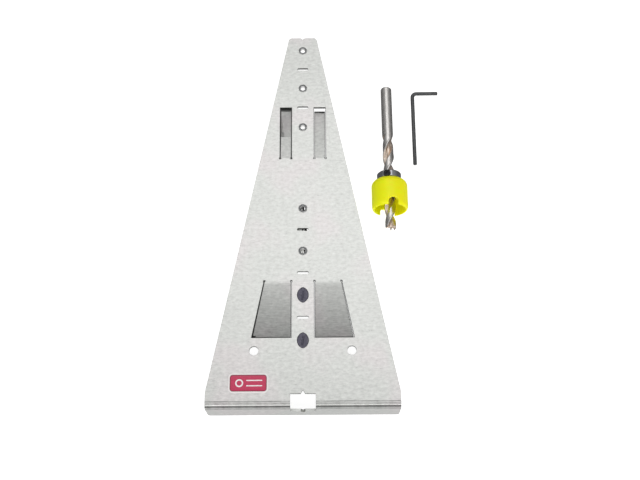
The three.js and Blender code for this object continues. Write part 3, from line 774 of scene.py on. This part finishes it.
def ball_grid(turn):
    """A sphere as rings of latitude, its middle on the ball circle."""
    latitude = np.linspace(-88, 88, 23)
    profile = np.stack([
        BALL_RADIUS * np.cos(np.radians(latitude)), BALL_RADIUS * np.sin(np.radians(latitude))], axis=1)
    angle = math.radians(turn)
    centre = np.array([BALL_PITCH * math.sin(angle), BALL_PITCH * math.cos(angle), BEARING_MIDDLE])
    return turned_grid(profile, 36) + centre


def retainer_grid():
    """An open ring: a rounded section swept round all but the gap, widened into a lug at each end."""
    rows = 90
    turn = np.radians(np.linspace(27, 333, rows))[:, None]
    edge = np.degrees(np.minimum(turn - turn[0], turn[-1] - turn))
    lug = 1 - smooth(9, 16, edge)
    closing = 1 - 0.55 * (1 - smooth(0, 3.5, edge))
    outer = RETAINER_OUTER + 0.5 * lug * closing
    section = np.array([
        [0.06, 0], [0.94, 0], [1, 0.06], [1, 0.74], [0.94, 0.8], [0.06, 0.8], [0, 0.74], [0, 0.06]])
    radius = RETAINER_INNER + (outer - RETAINER_INNER) * section[None, :, 0]
    spin = math.pi / 2 - turn
    height = RETAINER + section[None, :, 1] + 0 * turn
    return np.stack([radius * np.cos(spin), radius * np.sin(spin), height], axis=-1)


def race_profile(back, land, side):
    """Section of a ball race: rounded corners, and a groove round the ball circle on the side it faces."""
    low, high = BEARING_MIDDLE - RACE_HALF_WIDTH, BEARING_MIDDLE + RACE_HALF_WIDTH
    facing = 180 if side > 0 else 0
    groove = arc(BALL_PITCH, BEARING_MIDDLE, 1.25, facing + side * 43, facing - side * 43, 10)
    ease = 0.2 * side
    return [
        [back, low + 0.2], [back + ease, low], [land - ease, low], [land, low + 0.2],
        *groove,
        [land, high - 0.2], [land - ease, high], [back + ease, high], [back, high - 0.2],
    ]


eased_copy("stop_collar", "turned_collar", "stop", collar_paint, 0.1, angle=30)
for node, turn in CLAMP_TURNS.items():
    grid = outward_from_axis(screw_grid(), turn)
    body = node.replace("_screw", "")
    mesh = grid_mesh(node, grid, on_drill)
    piece(node + "_threaded", mesh, body, screw_paint, (node,), sharp=30)

inner_profile = race_profile(INNER_RACE["back"], INNER_RACE["land"], 1)
outer_profile = race_profile(OUTER_RACE["back"], OUTER_RACE["land"], -1)
inner_race = grid_mesh("inner_race", turned_grid(inner_profile, 120), on_drill, ring=True)
outer_race = grid_mesh("outer_race", turned_grid(outer_profile, 120), on_drill, ring=True)
piece("inner_race", inner_race, "stop", race_paint, ("bearing_inner_ring",))
piece("outer_race", outer_race, "sleeve", race_paint, ("bearing_outer_ring",))
for side, sense in (("front", 1), ("rear", -1)):
    half = grid_mesh(f"cage_half_{side}", cage_grid(sense), on_drill, ring=True)
    piece(f"cage_half_{side}", half, "cage", cage_paint, ("ball_cage",))
for order in range(BALLS):
    ball = grid_mesh(f"ball_{order + 1}", ball_grid(360 * order / BALLS), on_drill)
    number = order + 1
    piece(f"ball_{number}", ball, "cage", race_paint, (f"bearing_ball_{number}",), sharp=80)

piece("circlip", grid_mesh("circlip", retainer_grid(), on_drill), "stop", screw_paint,
      ("retaining_ring",), sharp=50)


# ---- Sleeve ---------------------------------------------------------------------------------------

def window_edge(half, columns, middle):
    """One U-shaped window as (angle, end): up its side, round its corner, along its head, and down again."""
    straight = WINDOW_DEEP - WINDOW_CORNER
    head = half - WINDOW_CORNER
    curve = WINDOW_CORNER * math.pi / 2
    lengths = np.cumsum([0, straight, curve, 2 * head, curve, straight])
    walk = np.linspace(0, lengths[-1], columns, endpoint=False)
    turn = np.clip((walk - lengths[1]) / WINDOW_CORNER, 0, math.pi / 2)
    back = np.clip((walk - lengths[3]) / WINDOW_CORNER, 0, math.pi / 2)
    across = -half + WINDOW_CORNER * (1 - np.cos(turn)) + np.clip(walk - lengths[2], 0, 2 * head)
    across = across + WINDOW_CORNER * np.sin(back)
    up = np.clip(walk, 0, straight) + WINDOW_CORNER * np.sin(turn)
    down = WINDOW_CORNER * (1 - np.cos(back)) + np.clip(walk - lengths[4], 0, straight)
    return middle + np.arcsin(across / SLEEVE_RADIUS), SLEEVE_END - up + down


def sleeve_rim(columns):
    """The rim as a closed line (angle, end): full length, but up and over a U in each of two windows."""
    quarter = columns // 4
    upper, lower = (math.asin(half / SLEEVE_RADIUS) for half in WINDOW_HALVES)
    upper_edge = window_edge(WINDOW_HALVES[0], quarter, 0.0)
    right = np.linspace(upper, math.pi - lower, quarter, endpoint=False)
    lower_edge = window_edge(WINDOW_HALVES[1], quarter, math.pi)
    left = np.linspace(math.pi + lower, TURN - upper, quarter, endpoint=False)
    whole = np.full(quarter, SLEEVE_END)
    angle = np.concatenate([upper_edge[0], right, lower_edge[0], left])
    end = np.concatenate([upper_edge[1], whole, lower_edge[1], whole])
    return angle, end


def sleeve_grid():
    """Each column is a closed section: bore, domed shoulder, side, rounded rim, inside wall, bearing seat.
    Columns crowd together towards the rim so that they follow the windows' sides."""
    columns = 384
    rim_angle, rim_end = sleeve_rim(columns)
    even = np.linspace(0, TURN, columns, endpoint=False) + rim_angle[0]
    cut = smooth(0.0, 1.0, SLEEVE_END - rim_end)
    fillet = RIM_ALONG + (0.4 - RIM_ALONG) * cut
    inset = RIM_IN + (0.3 - RIM_IN) * cut
    inner = SLEEVE_RADIUS - SLEEVE_WALL
    straight = SLEEVE_START + SHOULDER
    head = [[7.9, SLEEVE_START], *arc(SLEEVE_RADIUS - SHOULDER, straight, SHOULDER, -90, 0, 14)]
    side = np.linspace(0.06, 1, 26)
    quarter = np.radians(np.linspace(0, 90, 9))[1:]
    back = np.linspace(1, 0, 22)
    floor_top = SLEEVE_START + SLEEVE_WALL
    tail = [[inner, SEAT_END + 0.2], [SEAT_RADIUS, SEAT_END], [SEAT_RADIUS, floor_top],
            [7.85, floor_top], [SLEEVE_BORE, floor_top - 0.25], [SLEEVE_BORE, SLEEVE_START + 0.3]]
    radius = [np.full(columns, r) for r, s in head]
    height = [np.full(columns, s) for r, s in head]
    for share in side:
        radius.append(np.full(columns, SLEEVE_RADIUS))
        height.append(straight + (rim_end - fillet - straight) * share)
    for angle in quarter:
        radius.append(SLEEVE_RADIUS - inset * (1 - math.cos(angle)))
        height.append(rim_end - fillet * (1 - math.sin(angle)))
    radius.append(np.full(columns, inner + 0.15))
    height.append(rim_end)
    for share in back:
        radius.append(np.full(columns, inner))
        height.append(SEAT_END + 0.4 + (rim_end - 0.2 - SEAT_END - 0.4) * share)
    radius += [np.full(columns, r) for r, s in tail]
    height += [np.full(columns, s) for r, s in tail]
    radius = np.array(radius)
    height = np.array(height)
    crowd = smooth(straight, SLEEVE_END - WINDOW_DEEP, height)
    angle = even[None, :] + (rim_angle - even)[None, :] * crowd
    spin = math.pi / 2 - angle - math.radians(WINDOW_TURN)
    return np.stack([radius * np.cos(spin), radius * np.sin(spin), height], axis=-1)


piece("moulded_sleeve", grid_mesh("moulded_sleeve", sleeve_grid(), on_drill, ring=True), "sleeve",
      sleeve_paint, ("stop_sleeve",), sharp=40)


# ---- Hex key --------------------------------------------------------------------------------------

def key_grid():
    """A hexagon with eased corners carried along an L whose corner is an arc, with chamfered ends."""
    half = KEY_FLATS / 2
    corners = np.radians(60 * np.arange(6))
    eased = np.concatenate([[turn - 0.09, turn, turn + 0.09] for turn in corners])
    reach = np.tile([0.953, 0.965, 0.953], 6) * KEY_FLATS / math.sqrt(3)
    section = np.stack([reach * np.cos(eased), reach * np.sin(eased)], axis=1)
    bend = half + KEY_BEND
    sweep = np.radians(np.linspace(180, 90, 20))
    down = (-KEY_LONG, -KEY_LONG + 0.3, -KEY_LONG + 0.5, -40, -20, -bend - 0.5)
    across = (bend + 0.5, 12.0, KEY_SHORT - 0.5, KEY_SHORT - 0.3, KEY_SHORT)
    long_arm = [(half, y, 0.0) for y in down]
    corner = [
        (half + KEY_BEND + KEY_BEND * math.cos(turn), -bend + KEY_BEND * math.sin(turn), math.pi - turn)
        for turn in sweep]
    short_arm = [(x, -half, math.pi / 2) for x in across]
    path = np.array(long_arm + corner + short_arm)
    scale = np.ones(len(path))
    scale[[0, -1]] = 0.78
    scale[[1, -2]] = 0.97
    side = np.stack([-np.cos(path[:, 2]), np.sin(path[:, 2])], axis=1)
    flat = path[:, None, :2] + side[:, None, :] * (section[None, :, :1] * scale[:, None, None])
    high = section[None, :, 1] * scale[:, None]
    return np.concatenate([flat, high[..., None]], axis=-1)


def on_bench_key(points):
    """The key's own frame in the row frame: the CAD key's corner, turned a little, lying on the bench."""
    turn = math.radians(KEY_TURN)
    x_axis = np.array([math.cos(turn), math.sin(turn), 0])
    y_axis = np.array([-math.sin(turn), math.cos(turn), 0])
    z_axis = np.array([0.0, 0.0, 1.0])
    low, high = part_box("hex_key")
    corner = np.array([low[0], high[1], low[2] + KEY_FLATS / 2 * MM])
    outer = KEY_FLATS / math.sqrt(3) - KEY_FLATS / 2
    shift = [outer, -outer - KEY_SHORT * math.sin(turn), 0]
    return placed(np.asarray(points) + shift, corner, x_axis, y_axis, z_axis)


piece("hexagon_key", grid_mesh("hexagon_key", key_grid(), on_bench_key), "key", key_paint,
      ("hex_key",), sharp=25)


# ---- Studio ---------------------------------------------------------------------------------------

def floor():
    """A lit white table: pale, and giving a little light of its own."""
    half = 3.0
    mesh = bpy.data.meshes.new("lit_table")
    corners = [(-half, -half, 0), (half, -half, 0), (half, half, 0), (-half, half, 0)]
    mesh.from_pydata(corners, [], [(0, 1, 2, 3)])
    obj = bpy.data.objects.new("lit_table", mesh)
    bpy.context.scene.collection.objects.link(obj)
    paint = Paint("lit_white_table", roughness=0.7, emission_strength=0.85)
    paint.shader.inputs["Base Color"].default_value = (0.6, 0.6, 0.6, 1)
    paint.shader.inputs["Emission Color"].default_value = (1, 1, 1, 1)
    mesh.materials.append(paint.material)
    obj.visible_glossy = False


def panel(name, tilt, turn, distance, width, height, brightness):
    """A soft light panel that faces the middle of the set, tilted off the vertical towards a turn."""
    light = bpy.data.lights.new(name, "AREA")
    light.shape = "RECTANGLE"
    light.size = width
    light.size_y = height
    light.energy = math.pi * width * height * brightness
    obj = bpy.data.objects.new(name, light)
    bpy.context.scene.collection.objects.link(obj)
    tilt, turn = math.radians(tilt), math.radians(turn)
    out = Vector((math.sin(tilt) * math.sin(turn), math.sin(tilt) * math.cos(turn), math.cos(tilt)))
    obj.location = out * distance
    obj.rotation_euler = out.to_track_quat("Z", "Y").to_euler()


def surround(horizon, zenith, front_glow):
    """A pale tent, brighter from the horizon to straight overhead, with a glow low in front."""
    world = bpy.data.worlds.new("pale_tent")
    world.use_nodes = True
    tree = world.node_tree
    coords = tree.nodes.new("ShaderNodeTexCoord")
    parts = tree.nodes.new("ShaderNodeSeparateXYZ")
    level = tree.nodes.new("ShaderNodeMapRange")
    level.inputs["From Min"].default_value = 0.1
    level.inputs["From Max"].default_value = 0.95
    level.inputs["To Min"].default_value = horizon
    level.inputs["To Max"].default_value = zenith
    tree.links.new(coords.outputs["Generated"], parts.inputs["Vector"])
    tree.links.new(parts.outputs["Z"], level.inputs["Value"])
    front = tree.nodes.new("ShaderNodeMapRange")
    front.inputs["From Min"].default_value = -0.02
    front.inputs["From Max"].default_value = -0.3
    below = tree.nodes.new("ShaderNodeMapRange")
    below.inputs["From Min"].default_value = -0.03
    below.inputs["From Max"].default_value = -0.2
    below.inputs["To Max"].default_value = front_glow
    tree.links.new(parts.outputs["Y"], front.inputs["Value"])
    tree.links.new(parts.outputs["Z"], below.inputs["Value"])
    glow = tree.nodes.new("ShaderNodeMath")
    glow.operation = "MULTIPLY_ADD"
    tree.links.new(front.outputs["Result"], glow.inputs[0])
    tree.links.new(below.outputs["Result"], glow.inputs[1])
    tree.links.new(level.outputs["Result"], glow.inputs[2])
    tree.links.new(glow.outputs["Value"], tree.nodes["Background"].inputs["Strength"])
    tree.nodes["Background"].inputs["Color"].default_value = (1, 1, 1, 1)
    bpy.context.scene.world = world


def camera():
    """Looks at the sheet from the fence's side, a fixed tilt off the sheet's normal."""
    aim = placed(np.array([12.0, 118.0, 0.0]), SHEET_ORIGIN, SHEET_X, SHEET_Y, SHEET_Z)
    tilt = math.radians(20.3)
    distance = 0.689
    roll = math.radians(0.38)
    back = Vector(SHEET_Z * math.cos(tilt) - SHEET_Y * math.sin(tilt))
    up = Vector(SHEET_Y * math.cos(tilt) + SHEET_Z * math.sin(tilt))
    right = Vector(SHEET_X)
    lens = bpy.data.cameras.new("camera")
    lens.sensor_width = 36
    lens.lens = 55.4
    obj = bpy.data.objects.new("camera", lens)
    bpy.context.scene.collection.objects.link(obj)
    rolled_right = right * math.cos(roll) - up * math.sin(roll)
    rolled_up = up * math.cos(roll) + right * math.sin(roll)
    turn = Matrix((rolled_right, rolled_up, back)).transposed().to_4x4()
    obj.matrix_world = Matrix.Translation(Vector(aim) + back * distance) @ turn
    bpy.context.scene.camera = obj


floor()
surround(horizon=0.2, zenith=0.62, front_glow=0.57)
panel("back_panel", tilt=27, turn=8, distance=1.5, width=1.2, height=0.9, brightness=0.85)
panel("front_left_panel", tilt=48, turn=-150, distance=1.5, width=1.0, height=0.8, brightness=2.4)
panel("front_right_panel", tilt=48, turn=150, distance=1.5, width=1.0, height=0.8, brightness=2.4)
camera()
bpy.context.scene.view_settings.view_transform = "Standard"
